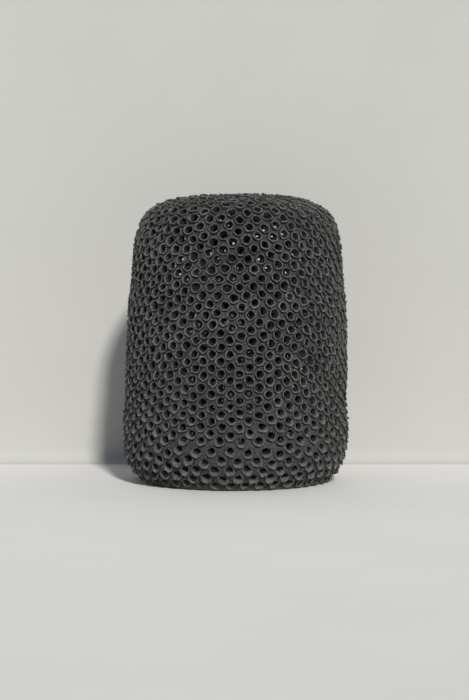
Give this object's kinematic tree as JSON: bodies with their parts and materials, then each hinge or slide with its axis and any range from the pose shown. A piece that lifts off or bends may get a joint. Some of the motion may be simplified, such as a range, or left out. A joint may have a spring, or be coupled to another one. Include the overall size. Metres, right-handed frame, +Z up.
{
  "type": "openwork clay pot",
  "caption": "Tall round-shouldered black clay pot whose wall is built of short pierced rings, open at a round mouth in the crown.",
  "frame": {"origin": "centre of the rest face, on the surface that the pot stands on", "axes": "+Z up through the mouth, -Y towards the front, +X to the front's right"},
  "size_m": [0.3811, 0.3812, 0.4809],
  "materials": {
    "ring_clay": "matte",
    "slab_clay": "matte"
  },
  "bodies": {
    "root": {"floor_slab": "slab_clay", "ring_course_01": "ring_clay", "ring_course_02": "ring_clay", "ring_course_03": "ring_clay", "ring_course_04": "ring_clay", "ring_course_05": "ring_clay", "ring_course_06": "ring_clay", "ring_course_07": "ring_clay", "ring_course_08": "ring_clay", "ring_course_09": "ring_clay", "ring_course_10": "ring_clay", "ring_course_11": "ring_clay", "ring_course_12": "ring_clay", "ring_course_13": "ring_clay", "ring_course_14": "ring_clay", "ring_course_15": "ring_clay", "ring_course_16": "ring_clay", "ring_course_17": "ring_clay", "ring_course_18": "ring_clay", "ring_course_19": "ring_clay", "ring_course_20": "ring_clay", "ring_course_21": "ring_clay", "ring_course_22": "ring_clay", "ring_course_23": "ring_clay", "ring_course_24": "ring_clay", "ring_course_25": "ring_clay", "ring_course_26": "ring_clay", "ring_course_27": "ring_clay", "ring_course_28": "ring_clay"}
  },
  "joints": []
}
